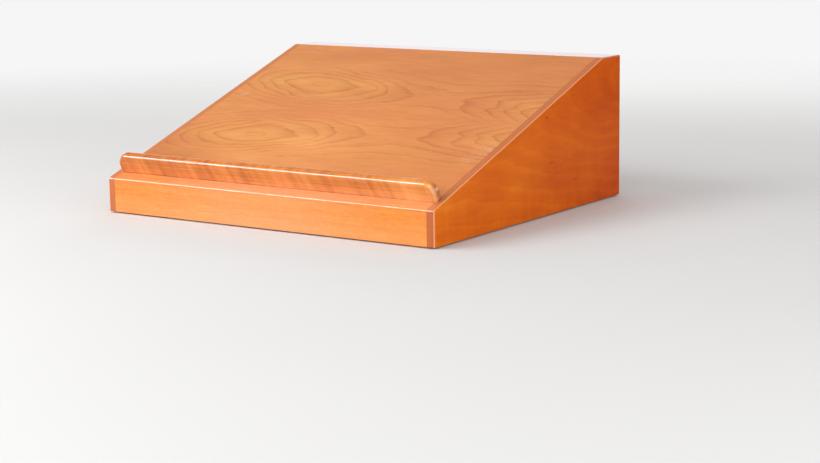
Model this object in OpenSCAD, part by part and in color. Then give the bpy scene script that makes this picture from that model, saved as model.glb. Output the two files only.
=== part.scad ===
// Tabletop presentation lectern: a veneered cherry wedge with a solid book stop.
// X runs to the user's right, Y away from the user, Z up. The origin is on the
// table, under the middle of the body. Millimetres.

/* [Body] */
// Width over the two side panels
body_w = 610; // [420:1:900]
// Depth from the front board to the back panel
body_d = 535; // [420:1:700]
// Height of the wooden body at the back
back_h = 224; // [180:1:300]
// Height of the wooden body at the front
front_h = 53; // [48:1:90]
// Depth of the level crest along the back
crest_d = 57; // [47:1:100]

/* [Panels] */
// Thickness of a side panel with its veneer
side_t = 12.7; // [11:0.1:19]
// Thickness of the solid front board
front_t = 19; // [15:0.5:25]
// Thickness of the reading panel with its veneer
panel_t = 12.7; // [10.5:0.1:19]
// Thickness of the solid crest board
crest_t = 12.7; // [10.5:0.1:19]
// Thickness of the back panel with its veneer
back_t = 12.7; // [10.5:0.1:19]
// Thickness of the face veneer
veneer_t = 0.6; // [0.4:0.1:1]
// Thickness of the solid lippings on the side panels' edges
lipping_t = 3; // [2:0.5:6]
// Width of the upper of the two matched veneer leaves
upper_leaf_w = 240; // [150:1:300]

/* [Book stop] */
// Height of the stop above the reading surface
stop_h = 30; // [26:1:45]
// Thickness of the stop along the slope
stop_t = 16; // [14:0.5:24]
// Distance from each side of the body to the end of the stop
stop_inset = 8; // [0:0.5:40]
// Radius of the stop's two upper corners
stop_corner_r = 19; // [8:1:24]
// Rounding of the stop's long edges
stop_edge_r = 6; // [1:0.5:6.5]

/* [Cleats and blocks] */
// Width and depth of the square cleats
cleat_w = 16; // [13:0.5:22]
// Height of the cleat under the mitre
ridge_cleat_h = 24; // [18:1:40]
// Width and depth of the square corner blocks
block_w = 25; // [21:1:35]
// Height of the two rear corner blocks
rear_block_h = 60; // [30:1:90]
// Clear height between a front corner block and the cleats over it
block_gap = 3; // [1:0.5:6]

/* [Pads] */
// Diameter of the felt pads
pad_d = 20; // [12:1:21]
// Thickness of the felt pads
pad_h = 2; // [1:0.5:5]

/* [Dowels] */
// Diameter of the dowels
dowel_d = 6; // [5:0.5:7.5]
// Length of the dowels
dowel_l = 30; // [24:1:40]
// Depth of each dowel in the side panel
dowel_bite = 8; // [6:0.5:9]
// Chamfer at both ends of a dowel
dowel_chamfer = 0.8; // [0.3:0.1:1.2]
// Glue gap round a dowel
dowel_gap = 0.1; // [0.05:0.05:0.2]
// Distance from an edge to the middle of the nearest dowel
dowel_edge = 14; // [10:0.5:15]

/* [Screws] */
// Diameter of the screws
screw_d = 4; // [3:0.5:4.5]
// Diameter of the countersunk heads
screw_head_d = 8; // [7:0.5:9]
// Length of the pointed end of a screw
screw_tip = 4; // [2:0.5:6]
// Depth of a cleat screw in the panel behind the cleat
screw_bite = 9; // [6:0.5:9.5]
// Depth of a stop screw in the stop
stop_screw_bite = 21; // [12:1:22]
// Clearance round a screw
screw_gap = 0.1; // [0.05:0.05:0.2]
// Number of screws that hold the stop
stop_screw_count = 4; // [2:1:6]
// Number of screws along each cleat
cleat_screw_count = 3; // [2:1:4]
// Distance from the end of a cleat or of the stop to its nearest screw
screw_margin = 45; // [35:1:70]
// Step along a side cleat between its outward and its upward screws
screw_stagger = 18; // [12:1:25]

/* [Hidden] */

$fn = 64;
LEFT = -1;
RIGHT = 1;

face_cherry = "#d9803f";
edge_cherry = "#c0622f";
board_cherry = "#f0a050";
leaf_cherry = "#e09a62";
stop_cherry = "#e58a3c";
plywood = "#d8b98a";
poplar = "#d9cfa0";
beech = "#e3c08f";
felt = "#4a3a30";
steel = "#c9b36a";

// Half the clear width between the side panels
inner_x = body_w / 2 - side_t;
stop_l = body_w - 2 * stop_inset;

// The slope starts at the front top edge and climbs to the crest
slope_a = atan((back_h - front_h) / (body_d - crest_d));
slope_l = (body_d - crest_d) / cos(slope_a);

// Outlines are [y, z] points, from the front face and from the wooden bottom.
// These give points by their depth under the slope, square to it.
function slope_z(y, depth) = front_h + y * tan(slope_a) - depth / cos(slope_a);
function slope_y(z, depth) = (z - front_h + depth / cos(slope_a)) / tan(slope_a);
function slope_point(run, depth) = [
    run * cos(slope_a) + depth * sin(slope_a),
    front_h + run * sin(slope_a) - depth * cos(slope_a)
];

// The reading panel and the crest board meet in a mitre
ridge = [body_d - crest_d, back_h];
mitre_foot = [slope_y(back_h - crest_t, panel_t), back_h - crest_t];
function mitre_point(depth) = ridge + (mitre_foot - ridge) * depth / panel_t;

// Runs along the slope, from its front edge
stop_run = front_t / cos(slope_a);
cleat_run = stop_run + stop_t;
seam_run = slope_l - upper_leaf_w;

cleat_depth = panel_t + cleat_w;
ridge_cleat_y = mitre_foot[0] - cleat_w / 2;
side_cleat_end = ridge_cleat_y / cos(slope_a) - cleat_depth * tan(slope_a);
front_cleat_depth = panel_t + cleat_w / 2;
front_cleat_end = stop_run - front_cleat_depth * tan(slope_a);

front_block_h = slope_z(front_t, cleat_depth) - block_gap;
rear_block_y = body_d - back_t - block_w;
crest_foot = back_h - crest_t;
back_inner_y = body_d - back_t;
screw_head_h = (screw_head_d - screw_d) / 2;

// count places from first to last, evenly apart
function spread(count, first, last) = [
    for (i = [0 : count - 1]) first + (last - first) * i / (count - 1)
];
function between(places) = [
    for (i = [1 : len(places) - 1]) (places[i - 1] + places[i]) / 2
];
stop_screw_x = spread(stop_screw_count, screw_margin - stop_l / 2, stop_l / 2 - screw_margin);
cleat_screw_x = spread(cleat_screw_count, screw_margin - inner_x, inner_x - screw_margin);
side_screw_run = spread(cleat_screw_count, cleat_run + screw_margin, side_cleat_end - screw_margin);

// ---- Placing ----

module in_body(x, y, z) {
    translate([x, y - body_d / 2, z + pad_h]) children();
}

// Extrudes a [y, z] outline from x0 to x1
module board(x0, x1, outline) {
    in_body(x0, 0, 0) rotate([90, 0, 90]) linear_extrude(x1 - x0) polygon(outline);
}

// The same on the left or right, with x measured outwards
module side_board(side, x0, x1, outline) {
    if (side == RIGHT) board(x0, x1, outline);
    else board(-x1, -x0, outline);
}

// Puts Y up the slope and Z square out of it
module on_slope(x, run, height) {
    in_body(x, run * cos(slope_a), front_h + run * sin(slope_a))
        rotate([slope_a, 0, 0]) translate([0, 0, height]) children();
}

// ---- Dowels and screws, each along +Z from z = 0 ----

module dowel() {
    cylinder(h = dowel_chamfer, d1 = dowel_d - 2 * dowel_chamfer, d2 = dowel_d);
    translate([0, 0, dowel_chamfer]) cylinder(h = dowel_l - 2 * dowel_chamfer, d = dowel_d);
    translate([0, 0, dowel_l - dowel_chamfer])
        cylinder(h = dowel_chamfer, d1 = dowel_d, d2 = dowel_d - 2 * dowel_chamfer);
}

module dowel_hole() {
    cylinder(h = dowel_l, d = dowel_d + 2 * dowel_gap);
}

// Starts at the bottom of the hole in a side panel and runs inwards
module at_dowel(side, y, z) {
    in_body(side * (inner_x + dowel_bite), y, z) rotate([0, -90 * side, 0]) children();
}

module at_front_dowels(side) {
    for (z = [dowel_edge, front_h - dowel_edge]) at_dowel(side, front_t / 2, z) children();
}

module at_crest_dowels(side) {
    for (y = [mitre_foot[0] + dowel_edge, body_d - dowel_edge])
        at_dowel(side, y, back_h - crest_t / 2) children();
}

module at_back_dowels(side) {
    for (z = spread(3, dowel_edge, crest_foot - dowel_edge))
        at_dowel(side, body_d - back_t / 2, z) children();
}

module side_dowel_holes(side) {
    at_front_dowels(side) dowel_hole();
    at_crest_dowels(side) dowel_hole();
    at_back_dowels(side) dowel_hole();
}

// A countersunk cross-recess wood screw, head first
module screw(length) {
    recess_w = screw_d / 5;
    recess_l = screw_head_d * 0.6;
    difference() {
        union() {
            cylinder(h = screw_head_h, d1 = screw_head_d, d2 = screw_d);
            cylinder(h = length - screw_tip, d = screw_d);
            translate([0, 0, length - screw_tip]) cylinder(h = screw_tip, d1 = screw_d, d2 = 1);
        }
        for (turn = [0, 90]) rotate(turn)
            translate([-recess_l / 2, -recess_w / 2, -1]) cube([recess_l, recess_w, screw_head_h + 0.6]);
    }
}

module screw_hole(length) {
    translate([0, 0, -1]) cylinder(h = 1, d = screw_head_d);
    cylinder(h = screw_head_h, d1 = screw_head_d, d2 = screw_d);
    cylinder(h = length, d = screw_d + 2 * screw_gap);
}

cleat_screw_l = cleat_w + screw_bite;
stop_screw_l = cleat_depth + stop_screw_bite;
front_cleat_screw_l = cleat_run - front_cleat_end + screw_bite;

// Up through the front cleat and the reading panel into the stop
module at_stop_screws() {
    for (x = stop_screw_x) on_slope(x, stop_run + stop_t / 2, -cleat_depth) children();
}

// Down the slope through the front cleat into the front board, between the stop screws
module at_front_cleat_screws() {
    for (x = between(stop_screw_x))
        on_slope(x, cleat_run, -front_cleat_depth) rotate([90, 0, 0]) children();
}

// Outwards through a side cleat into the side panel
module at_side_cleat_screws(side) {
    for (run = side_screw_run)
        on_slope(side * (inner_x - cleat_w), run, -panel_t - cleat_w / 2)
            rotate([0, 90 * side, 0]) children();
}

// Up through a side cleat into the reading panel
module at_reading_panel_screws(side) {
    for (run = side_screw_run)
        on_slope(side * (inner_x - cleat_w / 2), run + screw_stagger, -cleat_depth) children();
}

// Back through the rear cleat into the back panel
module at_rear_cleat_screws() {
    for (x = cleat_screw_x)
        in_body(x, back_inner_y - cleat_w, crest_foot - cleat_w / 2) rotate([-90, 0, 0]) children();
}

// Up through the rear cleat into the crest board, between the back panel's screws
module at_crest_screws() {
    for (x = between(cleat_screw_x))
        in_body(x, back_inner_y - cleat_w / 2, crest_foot - cleat_w) children();
}

// ---- Side panels ----

// Plywood that stops short of the lippings
module side_core(side) {
    color(plywood) difference() {
        side_board(side, inner_x, body_w / 2 - veneer_t, [
            [lipping_t, 0],
            [lipping_t, slope_z(lipping_t, lipping_t)],
            [slope_y(back_h - lipping_t, lipping_t), back_h - lipping_t],
            [body_d - lipping_t, back_h - lipping_t],
            [body_d - lipping_t, 0]
        ]);
        side_dowel_holes(side);
        at_side_cleat_screws(side) screw_hole(cleat_screw_l);
    }
}

// The outer face, over the plywood and its lippings
module side_veneer(side) {
    color(face_cherry) side_board(side, body_w / 2 - veneer_t, body_w / 2, [
        [0, 0], [0, front_h], ridge, [body_d, back_h], [body_d, 0]
    ]);
}

module lipping(side, outline) {
    color(edge_cherry) difference() {
        side_board(side, inner_x, body_w / 2 - veneer_t, outline);
        side_dowel_holes(side);
    }
}

module front_lipping(side) {
    lipping(side, [
        [0, 0], [lipping_t, 0], [lipping_t, slope_z(lipping_t, lipping_t)],
        [0, slope_z(0, lipping_t)]
    ]);
}

module slope_lipping(side) {
    lipping(side, [
        [0, front_h], [0, slope_z(0, lipping_t)],
        [slope_y(back_h - lipping_t, lipping_t), back_h - lipping_t], ridge
    ]);
}

module crest_lipping(side) {
    lipping(side, [
        ridge, [slope_y(back_h - lipping_t, lipping_t), back_h - lipping_t],
        [body_d, back_h - lipping_t], [body_d, back_h]
    ]);
}

module back_lipping(side) {
    lipping(side, [
        [body_d - lipping_t, 0], [body_d, 0],
        [body_d, back_h - lipping_t], [body_d - lipping_t, back_h - lipping_t]
    ]);
}

// ---- Front, reading surface, crest and back ----

// Its top is bevelled flush with the slope
module front_board() {
    color(board_cherry) difference() {
        board(-inner_x, inner_x, [
            [0, 0], [front_t, 0], [front_t, slope_z(front_t, 0)], [0, front_h]
        ]);
        for (side = [LEFT, RIGHT]) at_front_dowels(side) dowel_hole();
        at_front_cleat_screws() screw_hole(front_cleat_screw_l);
    }
}

module reading_panel_core() {
    color(plywood) difference() {
        board(-inner_x, inner_x, [
            [front_t, slope_z(front_t, veneer_t)], [front_t, slope_z(front_t, panel_t)],
            mitre_foot, mitre_point(veneer_t)
        ]);
        at_stop_screws() screw_hole(stop_screw_l);
        for (side = [LEFT, RIGHT]) at_reading_panel_screws(side) screw_hole(cleat_screw_l);
    }
}

module lower_veneer_leaf() {
    color(leaf_cherry) difference() {
        board(-inner_x, inner_x, [
            [front_t, slope_z(front_t, 0)], [front_t, slope_z(front_t, veneer_t)],
            slope_point(seam_run, veneer_t), slope_point(seam_run, 0)
        ]);
        at_stop_screws() screw_hole(stop_screw_l);
    }
}

module upper_veneer_leaf() {
    color(leaf_cherry) board(-inner_x, inner_x, [
        slope_point(seam_run, 0), slope_point(seam_run, veneer_t), mitre_point(veneer_t), ridge
    ]);
}

module crest_board() {
    color(face_cherry) difference() {
        board(-inner_x, inner_x, [ridge, mitre_foot, [body_d, crest_foot], [body_d, back_h]]);
        for (side = [LEFT, RIGHT]) at_crest_dowels(side) dowel_hole();
        at_crest_screws() screw_hole(cleat_screw_l);
    }
}

module back_panel_core() {
    color(plywood) difference() {
        board(-inner_x, inner_x, [
            [back_inner_y, 0], [body_d - veneer_t, 0],
            [body_d - veneer_t, crest_foot], [back_inner_y, crest_foot]
        ]);
        for (side = [LEFT, RIGHT]) at_back_dowels(side) dowel_hole();
        at_rear_cleat_screws() screw_hole(cleat_screw_l);
    }
}

module back_veneer() {
    color(face_cherry) board(-inner_x, inner_x, [
        [body_d - veneer_t, 0], [body_d, 0], [body_d, crest_foot], [body_d - veneer_t, crest_foot]
    ]);
}

// ---- Book stop ----

// width across, height up, with both upper corners rounded
module round_topped(width, height) {
    square([width, height - stop_edge_r]);
    translate([stop_edge_r, 0]) square([width - 2 * stop_edge_r, height]);
    for (x = [stop_edge_r, width - stop_edge_r]) translate([x, height - stop_edge_r]) circle(stop_edge_r);
}

// The same profile lying along +X, for the ends of the stop
module round_ended() {
    translate([0, stop_t]) rotate(-90) round_topped(stop_t, stop_corner_r);
}

module stop_end() {
    translate([stop_l / 2 - stop_corner_r, 0, 0]) {
        linear_extrude(stop_h - stop_corner_r) round_ended();
        translate([0, stop_t, stop_h - stop_corner_r])
            rotate([90, 0, 0]) rotate_extrude(angle = 90) round_ended();
    }
}

module book_stop() {
    color(stop_cherry) difference() {
        on_slope(0, stop_run, 0) {
            translate([stop_corner_r - stop_l / 2, 0, 0]) rotate([90, 0, 90])
                linear_extrude(stop_l - 2 * stop_corner_r) round_topped(stop_t, stop_h);
            stop_end();
            mirror([1, 0, 0]) stop_end();
        }
        at_stop_screws() screw_hole(stop_screw_l);
    }
}

// ---- Cleats, blocks and pads ----

module front_cleat() {
    color(poplar) difference() {
        board(-inner_x, inner_x, [
            [front_t, slope_z(front_t, panel_t)], [front_t, slope_z(front_t, cleat_depth)],
            slope_point(cleat_run, cleat_depth), slope_point(cleat_run, panel_t)
        ]);
        at_stop_screws() screw_hole(stop_screw_l);
        at_front_cleat_screws() screw_hole(front_cleat_screw_l);
    }
}

module side_cleat(side) {
    color(poplar) difference() {
        side_board(side, inner_x - cleat_w, inner_x, [
            slope_point(cleat_run, panel_t), slope_point(cleat_run, cleat_depth),
            [ridge_cleat_y, slope_z(ridge_cleat_y, cleat_depth)],
            [ridge_cleat_y, slope_z(ridge_cleat_y, panel_t)]
        ]);
        at_side_cleat_screws(side) screw_hole(cleat_screw_l);
        at_reading_panel_screws(side) screw_hole(cleat_screw_l);
    }
}

// Its top is bevelled to fit under both boards of the mitre
module ridge_cleat() {
    color(poplar) board(-inner_x, inner_x, [
        [ridge_cleat_y, slope_z(ridge_cleat_y, panel_t)], mitre_foot,
        [ridge_cleat_y + cleat_w, crest_foot],
        [ridge_cleat_y + cleat_w, crest_foot - ridge_cleat_h],
        [ridge_cleat_y, crest_foot - ridge_cleat_h]
    ]);
}

module rear_cleat() {
    color(poplar) difference() {
        board(-inner_x, inner_x, [
            [back_inner_y - cleat_w, crest_foot - cleat_w], [back_inner_y, crest_foot - cleat_w],
            [back_inner_y, crest_foot], [back_inner_y - cleat_w, crest_foot]
        ]);
        at_rear_cleat_screws() screw_hole(cleat_screw_l);
        at_crest_screws() screw_hole(cleat_screw_l);
    }
}

module block(side, y, height) {
    color(poplar) in_body(side > 0 ? inner_x - block_w : -inner_x, y, 0)
        cube([block_w, block_w, height]);
}

module pad(side, y) {
    color(felt) in_body(side * (inner_x - block_w / 2), y + block_w / 2, -pad_h)
        cylinder(h = pad_h, d = pad_d);
}

// ---- Dowel and screw groups ----

module front_board_dowels() {
    color(beech) for (side = [LEFT, RIGHT]) at_front_dowels(side) dowel();
}

module crest_board_dowels() {
    color(beech) for (side = [LEFT, RIGHT]) at_crest_dowels(side) dowel();
}

module back_panel_dowels() {
    color(beech) for (side = [LEFT, RIGHT]) at_back_dowels(side) dowel();
}

module stop_screws() {
    color(steel) at_stop_screws() screw(stop_screw_l);
}

module front_cleat_screws() {
    color(steel) at_front_cleat_screws() screw(front_cleat_screw_l);
}

module side_cleat_screws() {
    color(steel) for (side = [LEFT, RIGHT]) at_side_cleat_screws(side) screw(cleat_screw_l);
}

module reading_panel_screws() {
    color(steel) for (side = [LEFT, RIGHT]) at_reading_panel_screws(side) screw(cleat_screw_l);
}

module rear_cleat_screws() {
    color(steel) at_rear_cleat_screws() screw(cleat_screw_l);
}

module crest_screws() {
    color(steel) at_crest_screws() screw(cleat_screw_l);
}

side_core(LEFT);  // left_side_core
side_veneer(LEFT);  // left_side_veneer
front_lipping(LEFT);  // left_front_lipping
slope_lipping(LEFT);  // left_slope_lipping
crest_lipping(LEFT);  // left_crest_lipping
back_lipping(LEFT);  // left_back_lipping
side_core(RIGHT);  // right_side_core
side_veneer(RIGHT);  // right_side_veneer
front_lipping(RIGHT);  // right_front_lipping
slope_lipping(RIGHT);  // right_slope_lipping
crest_lipping(RIGHT);  // right_crest_lipping
back_lipping(RIGHT);  // right_back_lipping
front_board();
reading_panel_core();
lower_veneer_leaf();
upper_veneer_leaf();
crest_board();
back_panel_core();
back_veneer();
book_stop();
front_cleat();
side_cleat(LEFT);  // left_cleat
side_cleat(RIGHT);  // right_cleat
ridge_cleat();
rear_cleat();
block(LEFT, front_t, front_block_h);  // front_left_block
block(RIGHT, front_t, front_block_h);  // front_right_block
block(LEFT, rear_block_y, rear_block_h);  // rear_left_block
block(RIGHT, rear_block_y, rear_block_h);  // rear_right_block
pad(LEFT, front_t);  // front_left_pad
pad(RIGHT, front_t);  // front_right_pad
pad(LEFT, rear_block_y);  // rear_left_pad
pad(RIGHT, rear_block_y);  // rear_right_pad
front_board_dowels();
crest_board_dowels();
back_panel_dowels();
stop_screws();
front_cleat_screws();
side_cleat_screws();
reading_panel_screws();
rear_cleat_screws();
crest_screws();
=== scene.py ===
from math import atan2, cos, pi, radians, sin

import bpy
from mathutils import Matrix, Vector


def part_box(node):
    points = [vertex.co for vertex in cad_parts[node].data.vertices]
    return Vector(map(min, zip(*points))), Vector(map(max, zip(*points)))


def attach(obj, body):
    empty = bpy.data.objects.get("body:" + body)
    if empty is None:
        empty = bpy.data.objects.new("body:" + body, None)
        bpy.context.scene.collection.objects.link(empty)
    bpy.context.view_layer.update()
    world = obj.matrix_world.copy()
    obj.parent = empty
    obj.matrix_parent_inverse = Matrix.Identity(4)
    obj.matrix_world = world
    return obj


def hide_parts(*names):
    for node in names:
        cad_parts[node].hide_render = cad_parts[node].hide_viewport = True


# Tabletop presentation lectern in lacquered cherry, on a pale studio floor.
# Metres, in the frame's own axes: X across, Y towards the audience, Z up.

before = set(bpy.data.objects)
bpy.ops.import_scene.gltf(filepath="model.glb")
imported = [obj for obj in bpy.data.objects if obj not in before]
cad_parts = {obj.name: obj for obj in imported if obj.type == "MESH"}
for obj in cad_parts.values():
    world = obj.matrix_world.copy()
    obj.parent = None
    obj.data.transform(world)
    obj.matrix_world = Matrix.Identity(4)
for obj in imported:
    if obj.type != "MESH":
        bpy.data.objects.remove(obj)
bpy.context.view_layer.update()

# ---- Places that the frame gives ----

face_low, face_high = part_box("right_side_veneer")
board_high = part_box("front_board")[1]
crest_low, crest_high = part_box("crest_board")
leaf_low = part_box("upper_veneer_leaf")[0]

OUTER_X = face_high.x
INNER_X = board_high.x
FACE_X = face_low.x
FRONT_Y, BACK_Y = face_low.y, face_high.y
FOOT_Z, TOP_Z = face_low.z, face_high.z
VENEER = face_high.x - face_low.x
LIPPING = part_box("right_front_lipping")[1].y - FRONT_Y

# The slope runs from the shoulder, behind the front board's bevel, to the ridge
SHOULDER = Vector((0, board_high.y, board_high.z))
RIDGE = Vector((0, crest_low.y, crest_high.z))
MITRE_FOOT = Vector((0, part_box("reading_panel_core")[1].y, crest_low.z))
SLOPE = atan2(RIDGE.z - SHOULDER.z, RIDGE.y - SHOULDER.y)
UP_SLOPE = Vector((0, cos(SLOPE), sin(SLOPE)))
OUT_OF_SLOPE = Vector((0, -sin(SLOPE), cos(SLOPE)))
SEAM = SHOULDER + UP_SLOPE * ((leaf_low.y - SHOULDER.y) / cos(SLOPE))
MITRE = Vector((0, RIDGE.z - MITRE_FOOT.z, MITRE_FOOT.y - RIDGE.y)).normalized()
LIPPING_MITRE = (UP_SLOPE + Vector((0, 1, 0))).normalized()

# ---- Sizes of the visible edges ----

ARRIS = 0.0022          # rounding of the outer edges
FOOT_ARRIS = 0.0008     # rounding where the wood meets the table
HAIRLINE = 0.00018      # chamfer that shows a flush glue joint
STOP_HEIGHT = 0.030
STOP_THICKNESS = 0.016
STOP_CORNER = 0.019
STOP_EDGE = 0.006
PLY = 0.00135           # one layer of the plywood

# ---- Turns that bring a board's grain onto x, or its thickness onto z ----

ACROSS = (0, 0, 0)
ALONG = (0, 0, -pi / 2)
UPRIGHT = (0, pi / 2, 0)
ON_SLOPE = (-SLOPE, 0, 0)
ON_SIDE = (0, -pi / 2, 0)
ON_BACK = (-pi / 2, 0, 0)


# ---- Camera ----

def set_camera():
    """The view of someone standing to the right of the speaker's side."""
    place = Vector((1.736, -2.393, 0.496))
    turn, dip, roll = radians(34.7), radians(10.39), radians(-0.83)
    camera = bpy.data.objects.new("camera", bpy.data.cameras.new("camera"))
    camera.data.lens = 83.0
    camera.data.sensor_width = 36.0
    aim = Matrix.Rotation(turn, 4, "Z") @ Matrix.Rotation(pi / 2 - dip, 4, "X")
    camera.matrix_world = Matrix.Translation(place) @ aim @ Matrix.Rotation(roll, 4, "Z")
    bpy.context.scene.collection.objects.link(camera)
    bpy.context.scene.camera = camera


# ---- Shaping, one convex board at a time ----

def deselect_all():
    bpy.ops.object.select_all(action="DESELECT")


def make_active(piece):
    deselect_all()
    piece.select_set(True)
    bpy.context.view_layer.objects.active = piece


def block(name, low, high):
    """A sawn block between two corners."""
    deselect_all()
    low, high = Vector(low), Vector(high)
    bpy.ops.mesh.primitive_cube_add(size=1, location=(low + high) / 2, scale=high - low)
    piece = bpy.context.object
    piece.name = piece.data.name = name
    bpy.ops.object.transform_apply(location=True, rotation=True, scale=True)
    return piece


def copy_of(piece, name):
    """A copy with a mesh of its own."""
    twin = piece.copy()
    twin.data = piece.data.copy()
    twin.name = twin.data.name = name
    bpy.context.scene.collection.objects.link(twin)
    return twin


def saw(piece, *cuts):
    """Each cut is (a point on it, the side that falls away)."""
    make_active(piece)
    bpy.ops.object.mode_set(mode="EDIT")
    for point, away in cuts:
        bpy.ops.mesh.select_all(action="SELECT")
        bpy.ops.mesh.bisect(plane_co=point, plane_no=away, use_fill=True, clear_outer=True)
    bpy.ops.object.mode_set(mode="OBJECT")


def round_edges(piece, wanted, radius, segments=5):
    """Rounds each edge for which wanted(one end, the other end) is true."""
    make_active(piece)
    bpy.ops.object.mode_set(mode="EDIT")
    bpy.ops.mesh.select_mode(type="EDGE")
    bpy.ops.mesh.select_all(action="DESELECT")
    bpy.ops.object.mode_set(mode="OBJECT")
    points = piece.data.vertices
    for edge in piece.data.edges:
        edge.select = wanted(points[edge.vertices[0]].co, points[edge.vertices[1]].co)
    bpy.ops.object.mode_set(mode="EDIT")
    bpy.ops.mesh.bevel(offset=radius, offset_type="OFFSET", segments=segments, profile=0.5)
    bpy.ops.object.mode_set(mode="OBJECT")


def finish_shading(piece):
    """Round edges shade smoothly and flat faces stay flat."""
    make_active(piece)
    bpy.ops.object.shade_smooth_by_angle(angle=radians(35))
    weigh = piece.modifiers.new("weigh", "WEIGHTED_NORMAL")
    weigh.keep_sharp = True
    bpy.ops.object.modifier_apply(modifier=weigh.name)


X, Y, Z = range(3)


def near(value, target, slack=1e-5):
    return abs(value - target) < slack


def on_plane(a, b, axis, target):
    """Both ends of an edge lie on a plane square to an axis."""
    return near(a[axis], target) and near(b[axis], target)


def dress(piece, material, slot, *nodes):
    """Gives a finished piece its material and its place in the frame."""
    finish_shading(piece)
    piece.data.materials.clear()
    piece.data.materials.append(material)
    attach(piece, "root")
    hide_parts(*nodes)
    return piece


# ---- Materials: helpers ----

def srgb(code):
    """An sRGB hex colour as linear RGBA."""
    parts = [int(code[i:i + 2], 16) / 255 for i in (1, 3, 5)]
    linear = [c / 12.92 if c <= 0.04045 else ((c + 0.055) / 1.055) ** 2.4 for c in parts]
    return (*linear, 1)


def add(tree, kind, inputs=(), stops=(), **settings):
    """Adds one node with its settings and links.

    Inputs are listed in order or named. Each is a value, another node's output, or
    a node, which stands for its first output. Stops are a ramp's (place, hex colour).
    """
    node = tree.nodes.new("ShaderNode" + kind)
    for key, value in settings.items():
        setattr(node, key, value)
    for spare in stops[2:]:
        node.color_ramp.elements.new(spare[0])
    for element, (place, code) in zip(node.color_ramp.elements if stops else (), stops):
        element.position, element.color = place, srgb(code)
    plug(tree, node, inputs)
    return node


def plug(tree, node, inputs):
    """Sets or links some of a node's inputs."""
    for key, value in inputs.items() if isinstance(inputs, dict) else enumerate(inputs):
        if isinstance(value, bpy.types.Node):
            value = value.outputs[0]
        if isinstance(value, bpy.types.NodeSocket):
            tree.links.new(value, node.inputs[key])
        else:
            node.inputs[key].default_value = value


def new_material(name):
    """A material, its node tree and its shader."""
    material = bpy.data.materials.new(name)
    material.use_nodes = True
    tree = material.node_tree
    return material, tree, tree.nodes["Principled BSDF"]


def piece_point(tree, turn=(0, 0, 0), shift=(0, 0, 0)):
    """The point on the object, turned and then moved."""
    place = add(tree, "TexCoord").outputs["Object"]
    return add(tree, "Mapping", {"Vector": place, "Rotation": turn, "Location": shift})


def patches(tree, point, size, detail=2.0, rough=0.5, seed=0.0):
    """Noise of about -1 to 1, whose features measure size = (x, y, z) metres."""
    frequency = tuple(1 / length for length in size)
    scaled = add(tree, "VectorMath", (point, frequency), operation="MULTIPLY")
    shifted = add(tree, "VectorMath", (scaled, (seed, seed, seed)))
    node = add(tree, "TexNoise", {"Vector": shifted, "Scale": 1.0, "Detail": detail, "Roughness": rough})
    return add(tree, "Math", (node.outputs["Fac"], 4.0, -2.0), operation="MULTIPLY_ADD")


def fade(tree, value, none, full):
    """0 where a value is at none, 1 where it is at full, and smooth between."""
    inputs = {"Value": value, "From Min": none, "From Max": full}
    return add(tree, "MapRange", inputs, interpolation_type="SMOOTHSTEP")


def weighted(tree, start, *terms):
    """start plus each (value, weight)."""
    total = start
    for value, weight in terms:
        total = add(tree, "Math", (value, weight, total), operation="MULTIPLY_ADD")
    return total


# ---- Materials: cherry ----

# Ramps of (place, sRGB colour) from the darkest wood to the palest
READING_TONES = [(0.0, "#5c2a10"), (0.3, "#a05228"), (0.55, "#c6763b"), (0.8, "#dc8d49"), (1.0, "#eca45f")]
SIDE_TONES = [(0.0, "#5e1f03"), (0.3, "#a83c05"), (0.55, "#cb5208"), (0.8, "#de650d"), (1.0, "#ec7c1e")]
BACK_TONES = [(0.0, "#6a260c"), (0.3, "#a84c18"), (0.55, "#c66626"), (0.8, "#d67b34"), (1.0, "#e4904a")]
STOP_TONES = [(0.0, "#8c400d"), (0.3, "#b8601c"), (0.55, "#d67e33"), (0.8, "#e6994c"), (1.0, "#f3b26c")]
BOARD_TONES = [(0.0, "#a14a12"), (0.4, "#d07022"), (0.6, "#df822c"), (0.8, "#ea9540"), (1.0, "#f4ab5d")]
CREST_TONES = [(0.0, "#8f4a1c"), (0.4, "#bd6f34"), (0.6, "#cf8040"), (0.8, "#db904c"), (1.0, "#e8a45e")]
EDGE_TONES = [(0.0, "#5e260c"), (0.4, "#a0481e"), (0.6, "#b8602c"), (0.8, "#c87540"), (1.0, "#da8c50")]
# Pale colour for scratched lacquer, also used for painted highlights and reflections
WEAR_AND_HIGHLIGHT_PALE = "#f0d2c0"

MM_PER_M = 1000
# Widths of the yearly rings in millimetres, from the pith outwards
LEAF_YEARS = [8, 23, 13, 11, 11, 9, 15, 14, 19, 17, 21, 18, 22, 20]
# Where a branch or a bend moved the rings: a centre, a reach and a push, in metres
LEAF_SWELLS = [
    ((-0.150, 0.045), (0.055, 0.035), (0, -0.010)),
    ((-0.045, 0.092), (0.045, 0.020), (0.018, 0)),
    ((-0.075, 0.140), (0.090, 0.032), (0, -0.010)),
    ((-0.235, 0.100), (0.060, 0.020), (-0.016, 0)),
    ((0.200, 0.055), (0.120, 0.020), (0.024, 0)),
    ((0.060, 0.030), (0.090, 0.030), (0, 0.006)),
]
SIDE_YEARS = [14, 22, 18, 25, 16, 20, 24, 17, 21, 19, 23, 18, 20, 22, 16, 21, 19, 24, 18, 20]


def warp(tree, point, size, reach, seed):
    """Pushes a point about by up to reach metres, as the trunk's bends do."""
    x = patches(tree, point, size, seed=seed)
    y = patches(tree, point, size, seed=seed + 17.3)
    push = add(tree, "CombineXYZ", (x, y, 0.0))
    scaled = add(tree, "VectorMath", {0: push, 3: reach}, operation="SCALE")
    return add(tree, "VectorMath", (point, scaled))


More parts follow.
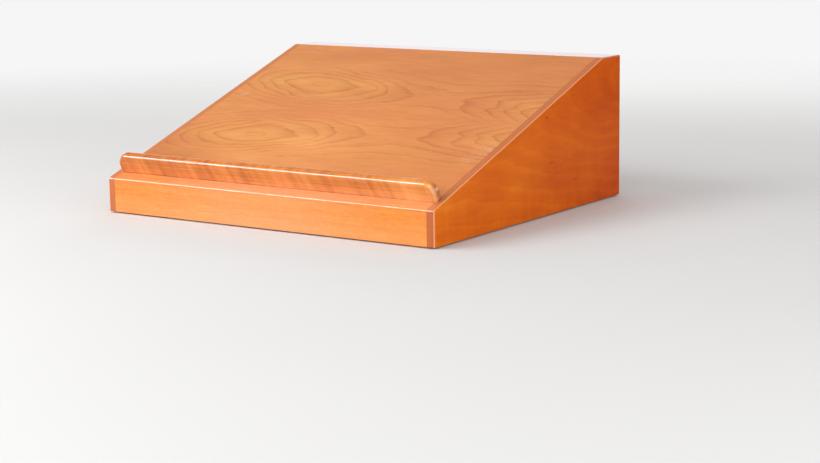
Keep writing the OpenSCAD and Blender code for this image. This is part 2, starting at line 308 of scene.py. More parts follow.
def swell(tree, point, centre, reach, push):
    """Moves the figure by push at a centre, less and less out to reach."""
    gap = add(tree, "VectorMath", (point, (*centre, 0)), operation="SUBTRACT")
    scaled = add(tree, "VectorMath", (gap, (1 / reach[0], 1 / reach[1], 0)), operation="MULTIPLY")
    away = add(tree, "VectorMath", (scaled,), operation="LENGTH").outputs["Value"]
    moved = add(tree, "VectorMath", {0: (*push, 0), 3: fade(tree, away, 1.0, 0.0)}, operation="SCALE")
    return add(tree, "VectorMath", (point, moved), operation="SUBTRACT")


def ring_count(tree, distance, years):
    """How many yearly rings lie between the pith and a point."""
    total = sum(years)
    # The curve's ends are the pith, at 0, and the last ring, at 1
    share = add(tree, "Math", (distance, MM_PER_M / total), operation="MULTIPLY")
    node = add(tree, "FloatCurve", {"Value": share})
    points = node.mapping.curves[0].points
    for ring in range(1, len(years)):
        points.new(sum(years[:ring]) / total, ring / len(years))
    for point in points:
        point.handle_type = "VECTOR"
    node.mapping.update()
    return add(tree, "Math", (node, len(years)), operation="MULTIPLY")


def late_wood(tree, count, soft=4.0):
    """Thin dark lines where one year's growth ends, 0 to 1, softer on the inner side."""
    part = add(tree, "Math", (count,), operation="FRACT")
    rise = add(tree, "MapRange", {"Value": part, "From Min": 0.35, "From Max": 0.90})
    darker = add(tree, "Math", (rise, soft), operation="POWER")
    return add(tree, "Math", (darker, fade(tree, part, 1.0, 0.90)), operation="MULTIPLY")


def broken_up(tree, point, size, seed, spread, middle):
    """How strongly the lines show from place to place, 0.1 at the least."""
    drift = patches(tree, point, size, seed=seed)
    strength = add(tree, "Math", (drift, spread, middle), operation="MULTIPLY_ADD")
    return add(tree, "Math", (strength, 0.1), operation="MAXIMUM")


def crown_distance(tree, point, eye, rise, span, drift):
    """Distance from the pith in a crown-cut leaf: x along the grain, y across it.

    The leaf touches the pith at the eye and again one span further on, and leaves
    it by rise between them. The crown's axis drifts across the grain on the way.
    """
    parts = add(tree, "SeparateXYZ", (point,)).outputs
    along = add(tree, "Math", (parts[0], eye[0]), operation="SUBTRACT")
    phase = add(tree, "Math", (along, pi / span), operation="MULTIPLY")
    bend = add(tree, "Math", (phase,), operation="SINE")
    depth = add(tree, "Math", (bend, rise), operation="MULTIPLY")
    axis = add(tree, "Math", (along, drift, eye[1]), operation="MULTIPLY_ADD")
    across = add(tree, "Math", (parts[1], axis), operation="SUBTRACT")
    both = add(tree, "CombineXYZ", (depth, across, 0.0))
    return add(tree, "VectorMath", (both,), operation="LENGTH").outputs["Value"]


def fibres(tree, point, seed=0.0):
    """Fine streaks along x, a millimetre or so wide, with finer ones inside."""
    coarse = patches(tree, point, (0.045, 0.0022, 0.0022), detail=4.0, rough=0.65, seed=seed)
    fine = patches(tree, point, (0.006, 0.0006, 0.0006), seed=seed + 5.1)
    return weighted(tree, 0.0, (coarse, 0.7), (fine, 0.3))


def lacquer(tree, shader, tone, tones, grain, blush, coat=1.0, gloss=0.11, wear_and_highlight=0.0):
    """Clear lacquer over wood: a soft body under a sharp, thin coat.

    Blush turns the colour towards pink where it is high and towards gold where it is low.
    Its last input is 1 where the lacquer is scratched pale, and where a highlight or reflection is painted
    pale.
    """
    hue = add(tree, "Math", (blush, -0.006, 0.5), operation="MULTIPLY_ADD")
    stained = add(tree, "ValToRGB", (tone,), stops=tones)
    wood = add(tree, "HueSaturation", {"Hue": hue, "Color": stained})
    share = add(tree, "Math", (wear_and_highlight, 0.5), operation="MULTIPLY")
    colour = add(tree, "Mix", {0: share, 6: wood, 7: srgb(WEAR_AND_HIGHLIGHT_PALE)}, data_type="RGBA")
    flow = patches(tree, piece_point(tree), (0.006, 0.006, 0.006), detail=1.0)
    plug(tree, shader, {
        "Base Color": colour.outputs[2],
        "Roughness": add(tree, "Math", (grain, -0.05, 0.5), operation="MULTIPLY_ADD"),
        "IOR": 1.5,
        "Specular IOR Level": 0.0,
        "Coat Weight": coat,
        "Coat Roughness": gloss,
        "Coat IOR": 1.5,
        "Normal": add(tree, "Bump", {"Height": grain, "Strength": 0.25, "Distance": 0.0002}),
        "Coat Normal": add(tree, "Bump", {"Height": flow, "Strength": 0.05, "Distance": 0.0002}),
    })


def scuffs(tree, point, places):
    """Hair scratches in small patches, 0 to 1. Each place is (x, y, reach)."""
    # They lean well across the grain
    leaning = add(tree, "Mapping", {"Vector": point, "Rotation": (0, 0, radians(-58))})
    wander = patches(tree, leaning, (0.016, 0.0035, 1), detail=1.0, seed=51.0)
    from_hair = add(tree, "Math", (wander,), operation="ABSOLUTE")
    hair = add(tree, "MapRange", {"Value": from_hair, "From Min": 0.22, "From Max": 0.0, "To Max": 0.65})
    total = 0.0
    for x, y, reach in places:
        away = add(tree, "VectorMath", (point, (x, y, 0)), operation="DISTANCE").outputs["Value"]
        total = add(tree, "Math", (total, fade(tree, away, reach, 0.0)), operation="MAXIMUM")
    return add(tree, "Math", (hair, total), operation="MULTIPLY")


def specks(tree, point, places):
    """Gum specks along the grain, 0 to 1. Each place is (x, y, length, darkness)."""
    total = 0.0
    for x, y, length, darkness in places:
        # An oval that is as long as the speck and two sevenths as wide
        gap = add(tree, "VectorMath", (point, (x, y, 0)), operation="SUBTRACT")
        squeezed = add(tree, "VectorMath", (gap, (2 / length, 7 / length, 0)), operation="MULTIPLY")
        away = add(tree, "VectorMath", (squeezed,), operation="LENGTH").outputs["Value"]
        spot = add(tree, "MapRange", {"Value": away, "From Min": 1.0, "From Max": 0.2, "To Max": darkness})
        total = add(tree, "Math", (total, spot), operation="MAXIMUM")
    return total


def reading_veneer():
    """Crown-cut cherry veneer, sliced, book-matched about a seam and lacquered.

    It gives the eye two mirrored leaves, each with a closed eye on the left,
    long lines that pinch together and a second crown that opens to the right.
    """
    material, tree, shader = new_material("cherry_veneer_book_matched_lacquered")
    # x across the slope and y up it, from the middle of the seam
    place = piece_point(tree, ON_SLOPE, shift=(0, -SEAM.dot(UP_SLOPE), -SEAM.dot(OUT_OF_SLOPE)))
    parts = add(tree, "SeparateXYZ", (place,)).outputs
    from_seam = add(tree, "Math", (parts[1],), operation="ABSOLUTE")
    leaf = add(tree, "CombineXYZ", (parts[0], from_seam, 0.0))
    bent = warp(tree, leaf, (0.085, 0.040, 1), reach=0.0050, seed=3.0)
    bent = warp(tree, bent, (0.024, 0.013, 1), reach=0.0021, seed=8.0)
    for centre, reach, push in LEAF_SWELLS:
        bent = swell(tree, bent, centre, reach, push)
    pith = crown_distance(tree, bent, eye=(-0.142, 0.092), rise=0.068, span=0.480, drift=-0.115)
    count = ring_count(tree, pith, LEAF_YEARS)

    # The lines fade away from the crown, towards the leaf's far edge and at the seam
    from_crown = add(tree, "MapRange", {"Value": pith, "From Min": 0.115, "From Max": 0.060,
                                        "To Min": 0.25, "To Max": 1.0})
    far_edge = add(tree, "MapRange", {"Value": from_seam, "From Min": 0.165, "From Max": 0.130,
                                      "To Min": 0.22, "To Max": 1.0})
    at_seam = add(tree, "MapRange", {"Value": from_seam, "From Max": 0.030, "To Min": 0.35})
    edges_faded = add(tree, "Math", (far_edge, at_seam), operation="MULTIPLY")
    clear = add(tree, "Math", (from_crown, edges_faded), operation="MULTIPLY")
    patchy = broken_up(tree, leaf, (0.08, 0.03, 1), seed=11.0, spread=0.60, middle=0.75)
    strength = add(tree, "Math", (clear, patchy), operation="MULTIPLY")
    lines = add(tree, "Math", (late_wood(tree, count), strength), operation="MULTIPLY")
    shade = add(tree, "Math", (late_wood(tree, count, soft=1.3), clear), operation="MULTIPLY")

    # Streaks that follow the rings, fine grain, and slow changes over the board
    along_ring = add(tree, "CombineXYZ", (pith, 0.0, 0.0))
    within = patches(tree, along_ring, (0.004, 0.004, 0.004), detail=3.0, rough=0.6, seed=2.0)
    grain = fibres(tree, leaf)
    cloud = patches(tree, leaf, (0.14, 0.045, 1), seed=4.0)
    gold = fade(tree, pith, 0.085, 0.015)
    dots = specks(tree, leaf, [(-0.047, 0.155, 0.008, 0.35), (0.098, 0.078, 0.010, 0.2)])
    # Painted shade: a darker patch in the lower left corner, beside the stop
    corner = add(tree, "VectorMath", (place, (-0.300, -0.200, 0)), operation="DISTANCE")
    painted_shade_corner = fade(tree, corner.outputs["Value"], 0.18, 0.02)
    middle = add(tree, "VectorMath", (place, (0.010, -0.130, 0)), operation="DISTANCE")
    pale_middle = fade(tree, middle.outputs["Value"], 0.16, 0.0)
    tone = weighted(tree, 0.74, (lines, -0.18), (shade, -0.06), (grain, 0.15), (within, 0.022),
                    (cloud, 0.08), (gold, 0.06), (parts[0], -0.10), (parts[1], -0.16), (dots, -1.0),
                    (painted_shade_corner, -0.24), (pale_middle, 0.10))
    patch = patches(tree, leaf, (0.20, 0.08, 1), detail=1.0, seed=12.0)
    blush = weighted(tree, 0.3, (patch, 0.8), (parts[0], 1.2), (gold, -0.9))
    marks = scuffs(tree, place, [(0.283, -0.085, 0.034), (0.268, -0.118, 0.020), (-0.249, 0.225, 0.016),
                                 (-0.268, 0.044, 0.014)])
    lacquer(tree, shader, tone, READING_TONES, grain, blush, wear_and_highlight=marks)
    return material


def side_veneer():
    """Plain-sliced cherry veneer, stained warm and lacquered.

    It gives the eye a deep orange with soft level grain that lifts to the rear,
    broad arcs, upright bands of shimmer and a few gum specks.
    """
    material, tree, shader = new_material("cherry_veneer_side_lacquered")
    parts = add(tree, "SeparateXYZ", (piece_point(tree, ALONG),)).outputs
    # x along the panel, y up it
    face = add(tree, "CombineXYZ", (parts[0], parts[2], parts[1]))
    bent = warp(tree, face, (0.12, 0.05, 1), reach=0.008, seed=21.0)
    pith = crown_distance(tree, bent, eye=(0.35, 0.19), rise=0.15, span=1.4, drift=0.0)
    count = ring_count(tree, pith, SIDE_YEARS)
    angle = add(tree, "Math", (count, 2 * pi), operation="MULTIPLY")
    wave = add(tree, "Math", (angle,), operation="COSINE")
    drift = patches(tree, face, (0.12, 0.06, 1), seed=31.0)
    strength = add(tree, "Math", (drift, 0.3, 0.5), operation="MULTIPLY_ADD")
    lines = add(tree, "Math", (late_wood(tree, count), strength), operation="MULTIPLY")
    grain = fibres(tree, face, seed=9.0)
    bands = patches(tree, face, (0.016, 0.10, 1), seed=14.0)
    low_down = add(tree, "MapRange", {"Value": parts[2], "From Min": 0.12, "From Max": 0.02,
                                      "To Min": 0.2, "To Max": 1.0})
    shimmer = add(tree, "Math", (bands, low_down), operation="MULTIPLY")
    cloud = patches(tree, face, (0.12, 0.07, 1), seed=27.0)
    mottle = patches(tree, face, (0.035, 0.018, 1), seed=33.0)
    dots = specks(tree, face, [(0.038, 0.150, 0.011, 0.6), (0.051, 0.081, 0.020, 0.25),
                               (0.123, 0.047, 0.018, 0.22), (0.075, 0.100, 0.016, 0.12)])
    # Painted highlight on the outer arrises, in the tone and in the pale mix
    arris_highlight = painted_arris_highlight(tree)
    # Painted light: the face grows lighter towards its front
    tone = weighted(tree, 0.69, (lines, -0.14), (wave, 0.04), (grain, 0.09), (shimmer, 0.06),
                    (cloud, 0.08), (mottle, 0.04), (parts[0], -0.55), (dots, -1.0), (arris_highlight, 0.5))
    blush = weighted(tree, -0.5, (cloud, -0.3), (parts[0], 1.5))
    # A stained face takes a thinner coat, so it mirrors less
    lacquer(tree, shader, tone, SIDE_TONES, grain, blush, coat=0.22, wear_and_highlight=weighted(tree, 0.0, (arris_highlight, 0.4)))
    return material


def back_veneer():
    """Crown-cut cherry veneer with its grain level across the back panel, lacquered.

    It gives the eye one long crown that opens to the audience's right.
    """
    material, tree, shader = new_material("cherry_veneer_back_lacquered")
    place = piece_point(tree, ON_BACK)
    bent = warp(tree, place, (0.14, 0.05, 1), reach=0.007, seed=41.0)
    bent = warp(tree, bent, (0.030, 0.014, 1), reach=0.0012, seed=44.0)
    pith = crown_distance(tree, bent, eye=(-0.42, 0.10), rise=0.13, span=1.5, drift=0.02)
    count = ring_count(tree, pith, LEAF_YEARS)
    strength = broken_up(tree, place, (0.10, 0.04, 1), seed=47.0, spread=0.5, middle=0.55)
    lines = add(tree, "Math", (late_wood(tree, count), strength), operation="MULTIPLY")
    grain = fibres(tree, place, seed=19.0)
    cloud = patches(tree, place, (0.18, 0.06, 1), seed=37.0)
    tone = weighted(tree, 0.62, (lines, -0.17), (late_wood(tree, count, soft=1.3), -0.07), (grain, 0.12),
                    (cloud, 0.09))
    lacquer(tree, shader, tone, BACK_TONES, grain, cloud)
    return material


def straight_board(name, tones, seed, bevel_sheen=0.0):
    """Straight-grained solid cherry, planed and lacquered.

    It gives the eye fine level lines with short flecks and no figure. The middle and the foot
    of a front board are painted paler as a reflection, and its bevel as a painted sheen.
    """
    material, tree, shader = new_material(name)
    place = piece_point(tree)
    grain = fibres(tree, place, seed)
    band = patches(tree, place, (0.6, 0.007, 0.007), rough=0.6, seed=seed + 2.0)
    glow = patches(tree, place, (0.045, 0.09, 0.09), seed=seed + 7.0)
    flecks = patches(tree, place, (0.008, 0.004, 0.004), rough=0.6, seed=seed + 9.0)
    parts = add(tree, "SeparateXYZ", (place,)).outputs
    # Painted reflection: paler at the foot and in the middle, and on faces that look up, such as the bevel
    painted_foot_light = fade(tree, parts[2], 0.040, 0.005)
    from_middle = add(tree, "Math", (parts[0],), operation="ABSOLUTE")
    middle = fade(tree, from_middle, 0.26, 0.03)
    upwards = add(tree, "SeparateXYZ", (add(tree, "TexCoord").outputs["Normal"],)).outputs[2]
    bevel = add(tree, "MapRange", {"Value": upwards, "From Min": 0.5, "From Max": 0.9})
    tone = weighted(tree, 0.60, (grain, 0.19), (flecks, 0.08), (band, 0.06), (glow, 0.05), (painted_foot_light, 0.06))
    painted_light = weighted(tree, 0.0, (painted_foot_light, 0.12), (bevel, bevel_sheen), (middle, 0.18))
    lacquer(tree, shader, tone, tones, grain, glow, wear_and_highlight=painted_light)
    return material


def lipping(name, turn, seed, left_tone, right_tone):
    """Thin solid cherry lippings, planed flush and lacquered.

    They give the eye a redder, darker band round each side panel, darkest on the
    right, with a pale line painted on the outer arris as a highlight.
    """
    material, tree, shader = new_material(name)
    place = piece_point(tree, turn)
    grain = fibres(tree, place, seed)
    band = patches(tree, place, (0.6, 0.007, 0.007), rough=0.6, seed=seed + 2.0)
    x = add(tree, "SeparateXYZ", (piece_point(tree),)).outputs[0]
    on_right = add(tree, "Math", (x, 0.0), operation="GREATER_THAN")
    # Painted highlight on the outer arris
    arris_highlight = painted_arris_highlight(tree)
    tone = weighted(tree, left_tone, (on_right, right_tone - left_tone), (grain, 0.08), (band, 0.06),
                    (arris_highlight, 0.4))
    lacquer(tree, shader, tone, EDGE_TONES, grain, band, wear_and_highlight=weighted(tree, 0.0, (arris_highlight, 0.4)))
    return material


def painted_arris_highlight(tree, slope=0.4):
    """1 on the arris between the outer side and the front, where a highlight is painted as a paler colour.

    The arris between the side and the slope counts by the share given.
    """
    parts = add(tree, "SeparateXYZ", (add(tree, "TexCoord").outputs["Normal"],)).outputs
    sideways = add(tree, "Math", (parts[0],), operation="ABSOLUTE")
    outwards = weighted(tree, 0.0, (parts[1], -1.0), (parts[2], slope))
    turning = add(tree, "Math", (sideways, outwards), operation="MULTIPLY")
    return fade(tree, turning, 0.12, 0.42)


def stop_board():
    """Curly solid cherry, moulded and polished.

    It gives the eye slanting bands that shimmer light and dark over level grain.
    The arris round its ends is painted pale as a highlight, the end grain is darker,
    its foot is painted paler and its right end lighter, as light falling there, and a
    thin dark line, partly painted contact shadow, shows where the stop meets the board.
    """
    material, tree, shader = new_material("curly_cherry_moulded_lacquered")
    place = piece_point(tree, ON_SLOPE)
    # Turned again about the stop's own thickness, so that the bands lean
    leaning = add(tree, "Mapping", {"Vector": place, "Rotation": (0, radians(22), 0)})
    curl = patches(tree, leaning, (0.013, 0.05, 0.10), detail=3.0, rough=0.55, seed=3.0)
    wide = patches(tree, leaning, (0.050, 0.08, 0.20), detail=1.0, seed=13.0)
    grain = fibres(tree, place, seed=23.0)
    band = patches(tree, place, (0.25, 0.004, 0.004), rough=0.6, seed=29.0)
    parts = add(tree, "SeparateXYZ", (place,)).outputs
    # Painted light: paler towards the foot. The dark line at the joint is partly a dark joint, partly
    # painted contact shadow.
    seat = SHOULDER.dot(OUT_OF_SLOPE)
    painted_foot_light = fade(tree, parts[2], seat + 0.016, seat)
    joint = add(tree, "MapRange", {"Value": parts[2], "From Min": seat + 0.0025, "From Max": seat + 0.0005})
    normal = add(tree, "SeparateXYZ", (add(tree, "TexCoord").outputs["Normal"],)).outputs
    sideways = add(tree, "Math", (normal[0],), operation="ABSOLUTE")
    end_grain = add(tree, "MapRange", {"Value": sideways, "From Min": 0.55, "From Max": 0.95})
    # Painted highlight on the arris round the ends
    edge = painted_arris_highlight(tree, slope=0.0)
    # Painted light: the tone rises to the right, so the right end is lighter than the left
    tone = weighted(tree, 0.52, (curl, 0.23), (wide, 0.10), (grain, 0.10), (band, 0.10), (painted_foot_light, 0.06),
                    (joint, -0.30), (parts[0], 0.36), (edge, 0.24), (end_grain, -0.20))
    painted_light = weighted(tree, 0.0, (painted_foot_light, 0.06), (edge, 0.35))
    lacquer(tree, shader, tone, STOP_TONES, grain, curl, gloss=0.16, wear_and_highlight=painted_light)
    return material


# ---- Materials: what is hidden underneath ----

BIRCH = [(0.0, "#6f5232"), (0.4, "#b78f5e"), (0.7, "#d9ba8c"), (1.0, "#e9d2aa")]
POPLAR = [(0.0, "#8f8a55"), (0.4, "#c9bf8b"), (0.7, "#ddd4a8"), (1.0, "#ece6c6")]
BEECH = [(0.0, "#a5713f"), (0.4, "#cf9f6b"), (0.7, "#e0b888"), (1.0, "#ecd0a8")]
ZINC = [(0.0, "#a98e4c"), (0.5, "#cdb56c"), (0.8, "#d9c88e"), (1.0, "#c9b0a8")]
FELT = [(0.0, "#241b15"), (0.5, "#43352b"), (1.0, "#6a5647")]


def plywood(name, turn, first):
    """Birch plywood, rotary cut and pressed.

    It gives the eye pale layers, every other one darker, between thin glue lines.
    The layers are counted along z from first, after the turn.
    """
    material, tree, shader = new_material(name)
    place = piece_point(tree, turn)
    height = add(tree, "SeparateXYZ", (place,)).outputs[2]
    above = add(tree, "Math", (height, first), operation="SUBTRACT")
    layer = add(tree, "Math", (above, PLY), operation="DIVIDE")
    part = add(tree, "Math", (layer, 1.0), operation="PINGPONG")
    across = add(tree, "Math", (part, 0.5), operation="GREATER_THAN")
    from_glue = add(tree, "Math", (part, 0.5), operation="SUBTRACT")
    from_glue = add(tree, "Math", (from_glue,), operation="ABSOLUTE")
    glue = add(tree, "Math", (from_glue, 0.05), operation="LESS_THAN")
    grain = fibres(tree, place, seed=2.0)
    cloud = patches(tree, place, (0.10, 0.03, 0.03), seed=6.0)
    tone = weighted(tree, 0.70, (across, -0.30), (glue, -0.30), (grain, 0.07), (cloud, 0.08))
    plug(tree, shader, {
        "Base Color": add(tree, "ValToRGB", (tone,), stops=BIRCH),
        "Roughness": 0.7,
        "Normal": add(tree, "Bump", {"Height": grain, "Strength": 0.4, "Distance": 0.0003}),
    })
    return material


def raw_wood(name, turn, tones, seed):
    """Hardwood, planed or turned and left bare. It gives the eye a pale, dry, streaky wood."""
    material, tree, shader = new_material(name)
    place = piece_point(tree, turn)
    grain = fibres(tree, place, seed)
    band = patches(tree, place, (0.35, 0.008, 0.008), detail=3.0, rough=0.6, seed=seed + 3.0)
    tone = weighted(tree, 0.55, (grain, 0.10), (band, 0.14))
    plug(tree, shader, {
        "Base Color": add(tree, "ValToRGB", (tone,), stops=tones),
        "Roughness": 0.75,
        "Normal": add(tree, "Bump", {"Height": grain, "Strength": 0.5, "Distance": 0.0003}),
    })
    return material


def zinc_screw():
    """Yellow zinc-plated steel, rolled and dipped. It gives the eye a dull, stained gold."""
    material, tree, shader = new_material("yellow_zinc_plated_steel")
    stain = patches(tree, piece_point(tree), (0.004, 0.004, 0.004))
    tone = weighted(tree, 0.5, (stain, 0.25))
    colour = add(tree, "ValToRGB", (tone,), stops=ZINC)
    plug(tree, shader, {"Base Color": colour, "Metallic": 1.0, "Roughness": 0.34})
    return material


def felt():
    """Pressed wool felt. It gives the eye a dark brown, matt and slightly hairy pad."""
    material, tree, shader = new_material("pressed_wool_felt")
    fuzz = patches(tree, piece_point(tree), (0.0008, 0.0008, 0.0008), detail=3.0, rough=0.7)
    tone = weighted(tree, 0.5, (fuzz, 0.22))
    plug(tree, shader, {
        "Base Color": add(tree, "ValToRGB", (tone,), stops=FELT),
        "Roughness": 0.95,
        "Sheen Weight": 0.4,
        "Normal": add(tree, "Bump", {"Height": fuzz, "Strength": 0.8, "Distance": 0.0004}),
    })
    return material


# ---- Pieces ----

def side_blank(sign):
    """A whole side panel with its outer edges rounded, before it is cut into pieces."""
    inner, outer = sorted((sign * INNER_X, sign * OUTER_X))
    blank = block("blank", (inner, FRONT_Y, FOOT_Z), (outer, BACK_Y, TOP_Z))
    saw(blank, (RIDGE, OUT_OF_SLOPE))
    face = sign * OUTER_X

    def outer_edge(a, b):
        on_face = on_plane(a, b, X, face) and not on_plane(a, b, Z, FOOT_Z)
        top_front = on_plane(a, b, Y, FRONT_Y) and near(a.z, b.z) and a.z > FOOT_Z + ARRIS
        top_back = on_plane(a, b, Y, BACK_Y) and on_plane(a, b, Z, TOP_Z)
        return on_face or top_front or top_back

    round_edges(blank, outer_edge, ARRIS)
    round_edges(blank, lambda a, b: on_plane(a, b, Z, FOOT_Z), FOOT_ARRIS, segments=2)
    return blank


def side_pieces(sign, side, face_veneer, edges):
    """Cuts a blank along its glue lines into a face veneer and four lippings."""
    blank = side_blank(sign)
    outwards = Vector((sign, 0, 0))
    face_plane = Vector((sign * FACE_X, 0, 0))
    under_slope = RIDGE - OUT_OF_SLOPE * LIPPING
    under_crest = Vector((0, 0, TOP_Z - LIPPING))
    behind_front = Vector((0, FRONT_Y + LIPPING, 0))
    before_back = Vector((0, BACK_Y - LIPPING, 0))
    rearwards, upwards = Vector((0, 1, 0)), Vector((0, 0, 1))
    behind_veneer = (face_plane, outwards)
    cuts = {
        "front": [(behind_front, rearwards), (under_slope, OUT_OF_SLOPE)],
        "slope": [(under_slope, -OUT_OF_SLOPE), (RIDGE, LIPPING_MITRE)],
        "crest": [(under_crest, -upwards), (RIDGE, -LIPPING_MITRE)],
        "back": [(before_back, -rearwards), (under_crest, upwards)],
    }
    for place, planes in cuts.items():
        node = f"{side}_{place}_lipping"
        piece = copy_of(blank, f"{side}_{place}_edge")
        saw(piece, behind_veneer, *planes)
        dress(piece, edges[place], "cherry_edge", node)
    blank.name = blank.data.name = f"{side}_face"
    saw(blank, (face_plane, -outwards))
    dress(blank, face_veneer, "cherry_side_veneer", f"{side}_side_veneer")


def front_piece(material):
    """The front board between the sides, with its top bevelled into the slope."""
    piece = block("front_rail", (-INNER_X, FRONT_Y, FOOT_Z), (INNER_X, board_high.y, TOP_Z))
    saw(piece, (SHOULDER, OUT_OF_SLOPE))

    def top_edge(a, b):
        return on_plane(a, b, Y, FRONT_Y) and near(a.z, b.z) and a.z > FOOT_Z + ARRIS

    def foot_edge(a, b):
        return on_plane(a, b, Z, FOOT_Z) and near(a.y, b.y)

    def end_edge(a, b):
        return near(a.x, b.x) and near(abs(a.x), INNER_X)

    round_edges(piece, top_edge, ARRIS)
    round_edges(piece, foot_edge, FOOT_ARRIS, segments=2)
    round_edges(piece, end_edge, HAIRLINE, segments=1)
    dress(piece, material, "cherry_board", "front_board")


def leaf_piece(name, node, material, *planes):
    """One leaf of veneer on the slope, with a hairline chamfer against each side panel."""
    piece = block(name, (-INNER_X, SHOULDER.y, FOOT_Z), (INNER_X, MITRE_FOOT.y, TOP_Z))
    saw(piece, (RIDGE, OUT_OF_SLOPE), (RIDGE - OUT_OF_SLOPE * VENEER, -OUT_OF_SLOPE), *planes)

    def on_top(point):
        return near((point - RIDGE).dot(OUT_OF_SLOPE), 0)

    def joint(a, b):
        return on_top(a) and on_top(b) and near(a.x, b.x)

    round_edges(piece, joint, HAIRLINE, segments=1)
    dress(piece, material, "cherry_reading_veneer", node)


def crest_piece(material):
    """The level board along the back, mitred to the slope."""
    piece = block("crest_top", (-INNER_X, RIDGE.y, crest_low.z), (INNER_X, BACK_Y, TOP_Z))
    saw(piece, (RIDGE, -MITRE))

    def back_edge(a, b):
        return on_plane(a, b, Y, BACK_Y) and on_plane(a, b, Z, TOP_Z)

    def ridge_edge(a, b):
        return on_plane(a, b, Y, RIDGE.y) and on_plane(a, b, Z, TOP_Z)

    round_edges(piece, back_edge, ARRIS)
    round_edges(piece, ridge_edge, HAIRLINE, segments=1)
    dress(piece, material, "cherry_board", "crest_board")


def stop_piece(material):
    """A bar with two round corners and then a bullnose all along its free edges."""
    half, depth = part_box("book_stop")[1].x, STOP_THICKNESS / 2
    piece = block("book_rest", (-half, -depth, 0), (half, depth, STOP_HEIGHT))

    def corner(a, b):
        return on_plane(a, b, Z, STOP_HEIGHT) and near(a.x, b.x)

    def free_edge(a, b):
        same_face = near(a.y, b.y) and near(abs(a.y), depth)
        return same_face and not on_plane(a, b, Z, 0)

    round_edges(piece, corner, STOP_CORNER, segments=16)
    round_edges(piece, free_edge, STOP_EDGE, segments=8)
    piece.location = SHOULDER + UP_SLOPE * depth
    piece.rotation_euler = (SLOPE, 0, 0)
    make_active(piece)
    bpy.ops.object.transform_apply(location=True, rotation=True, scale=True)
    dress(piece, material, "cherry_stop", "book_stop")


def paint(material, *nodes):
    """Gives CAD nodes that keep their shape a finished material."""
    for name in nodes:
        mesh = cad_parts[name].data
        mesh.materials.clear()
        mesh.materials.append(material)


# ---- Studio ----

MIDDLE = Vector((0, 0, TOP_Z / 2))
LIGHT_DISTANCE = 2.5
# The glow that polished faces mirror: where it is, and how wide it is as a cosine
GLOW_WAY = (-0.57, 0.80, 0.17)
GLOW_EDGE = 0.90
# Each light's name, direction, width, height and power
PANELS = [
    ("main_panel", (-0.50, -0.62, 0.60), 1.8, 1.2, 40),
    ("front_panel", (0.10, -0.97, 0.20), 1.6, 0.9, 17),
    ("side_panel", (0.93, -0.30, 0.25), 1.4, 0.9, 13),
    ("back_panel", (-0.30, 0.88, 0.36), 1.6, 0.9, 13),
]
STRIP_COLOUR = (0.86, 0.82, 1.0)
STRIPS = [
    ("front_strip", (-0.58, -0.75, 0.31), 2.2, 0.9, 135),
    ("side_strip", (0.71, 0.65, 0.26), 2.2, 0.9, 30),
    ("end_strip", (0.41, -0.85, 0.33), 0.7, 0.9, 14),
]


def soft_light(name, direction, width, height, power):
    """A soft panel of light, aimed at the middle of the object."""
    lamp = bpy.data.lights.new(name, "AREA")
    lamp.shape = "RECTANGLE"
    lamp.size, lamp.size_y = width, height
    lamp.energy = power
    holder = bpy.data.objects.new(name, lamp)
    way = Vector(direction).normalized()
    holder.location = MIDDLE + way * LIGHT_DISTANCE
    holder.rotation_euler = way.to_track_quat("Z", "Y").to_euler()
    bpy.context.scene.collection.objects.link(holder)
    return holder


def set_world():
    """White all round, with a glow low at the far left that polished faces mirror."""
    world = bpy.data.worlds.new("studio")
    bpy.context.scene.world = world
    world.use_nodes = True
    tree = world.node_tree
    rays = add(tree, "LightPath").outputs
    way = add(tree, "TexCoord").outputs["Generated"]
    facing = add(tree, "VectorMath", (way, GLOW_WAY), operation="DOT_PRODUCT").outputs["Value"]
    glow = add(tree, "MapRange", {"Value": facing, "From Min": GLOW_EDGE, "From Max": 1.0,
                                  "To Min": 0.32, "To Max": 1.35}, interpolation_type="SMOOTHSTEP")
    mirrored = add(tree, "Background", {"Color": (0.78, 0.90, 1.0, 1), "Strength": glow})
    around = add(tree, "Background", {"Color": (1.0, 0.98, 0.96, 1), "Strength": 0.62})
    behind = add(tree, "Background", {"Color": (1, 1, 1, 1), "Strength": 0.92})
    unseen = add(tree, "MixShader", (rays["Is Glossy Ray"], around, mirrored))
    surface = add(tree, "MixShader", (rays["Is Camera Ray"], unseen, behind))
    plug(tree, tree.nodes["World Output"], {"Surface": surface})


def set_floor():
    """A pale floor that fades into the white behind it."""
    deselect_all()
    bpy.ops.mesh.primitive_plane_add(size=6)
    floor = bpy.context.object
    floor.name = "floor"
    material, tree, shader = new_material("pale_studio_floor")
    place = piece_point(tree)
    mottle = patches(tree, place, (0.5, 0.5, 0.5), detail=1.0)
    tone = weighted(tree, 0.5, (mottle, 0.1))
    colour = add(tree, "ValToRGB", (tone,), stops=[(0.0, "#d2d2d2"), (1.0, "#dadada")])
    away = add(tree, "VectorMath", (place,), operation="LENGTH").outputs["Value"]
    plug(tree, shader, {
        "Base Color": colour,
        "Alpha": fade(tree, away, 2.7, 0.8),
        "Roughness": 0.9,
        "Specular IOR Level": 0.1,
    })
    floor.data.materials.append(material)


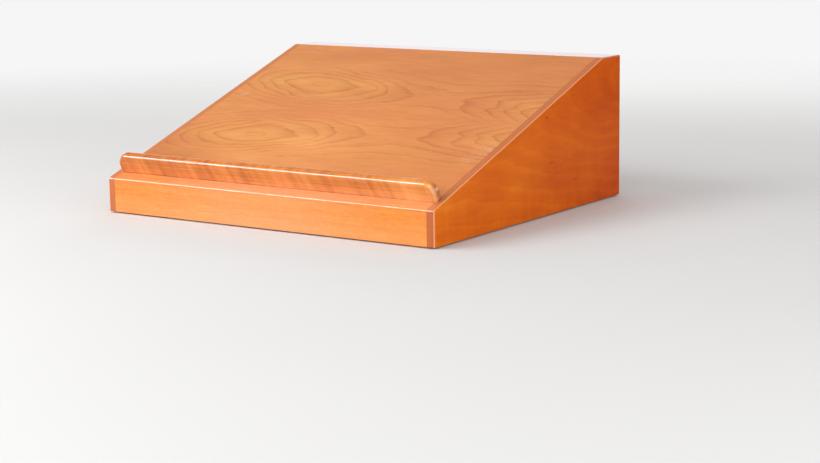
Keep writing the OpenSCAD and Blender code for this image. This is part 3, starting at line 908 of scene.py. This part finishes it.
def set_studio():
    """Plain pale surroundings and soft light."""
    bpy.context.scene.view_settings.view_transform = "Standard"
    set_world()
    set_floor()
    # These light the object but don't show in its polish
    for name, direction, width, height, power in PANELS:
        soft_light(name, direction, width, height, power).visible_glossy = False
    # These only show as highlights, on the front arrises, the sloping ones and the stop's end
    for name, direction, width, height, power in STRIPS:
        strip = soft_light(name, direction, width, height, power)
        strip.data.color = STRIP_COLOUR
        strip.visible_diffuse = False


# ---- Build ----

set_camera()
set_studio()

straight = straight_board("cherry_board_lacquered", BOARD_TONES, 1.0, bevel_sheen=0.07)
edge_upright = lipping("cherry_lipping_upright", UPRIGHT, 2.0, left_tone=0.64, right_tone=0.56)
edge_level = lipping("cherry_lipping_level", ALONG, 3.0, left_tone=0.82, right_tone=0.72)
edges = {"front": edge_upright, "slope": edge_level, "crest": edge_level, "back": edge_upright}
side = side_veneer()
side_pieces(1, "right", side, edges)
side_pieces(-1, "left", side, edges)
front_piece(straight)

leaves = reading_veneer()
leaf_piece("lower_leaf", "lower_veneer_leaf", leaves, (SEAM, UP_SLOPE))
leaf_piece("upper_leaf", "upper_veneer_leaf", leaves, (SEAM, -UP_SLOPE), (RIDGE, MITRE))
crest_piece(straight_board("cherry_crest_lacquered", CREST_TONES, 4.0))
stop_piece(stop_board())

paint(back_veneer(), "back_veneer")
paint(plywood("birch_plywood_sides", ON_SIDE, -OUTER_X), "left_side_core", "right_side_core")
paint(plywood("birch_plywood_panel", ON_SLOPE, RIDGE.dot(OUT_OF_SLOPE)), "reading_panel_core")
paint(plywood("birch_plywood_back", ON_BACK, -BACK_Y), "back_panel_core")
paint(raw_wood("planed_poplar_across", ACROSS, POPLAR, 5.0),
      "front_cleat", "ridge_cleat", "rear_cleat")
paint(raw_wood("planed_poplar_lengthways", ALONG, POPLAR, 6.0), "left_cleat", "right_cleat")
corners = ["front_left", "front_right", "rear_left", "rear_right"]
paint(raw_wood("planed_poplar_upright", UPRIGHT, POPLAR, 7.0), *[f"{c}_block" for c in corners])
paint(raw_wood("turned_beech", ACROSS, BEECH, 8.0),
      "front_board_dowels", "crest_board_dowels", "back_panel_dowels")
paint(zinc_screw(), "stop_screws", "front_cleat_screws", "side_cleat_screws",
      "reading_panel_screws", "rear_cleat_screws", "crest_screws")
paint(felt(), *[f"{c}_pad" for c in corners])
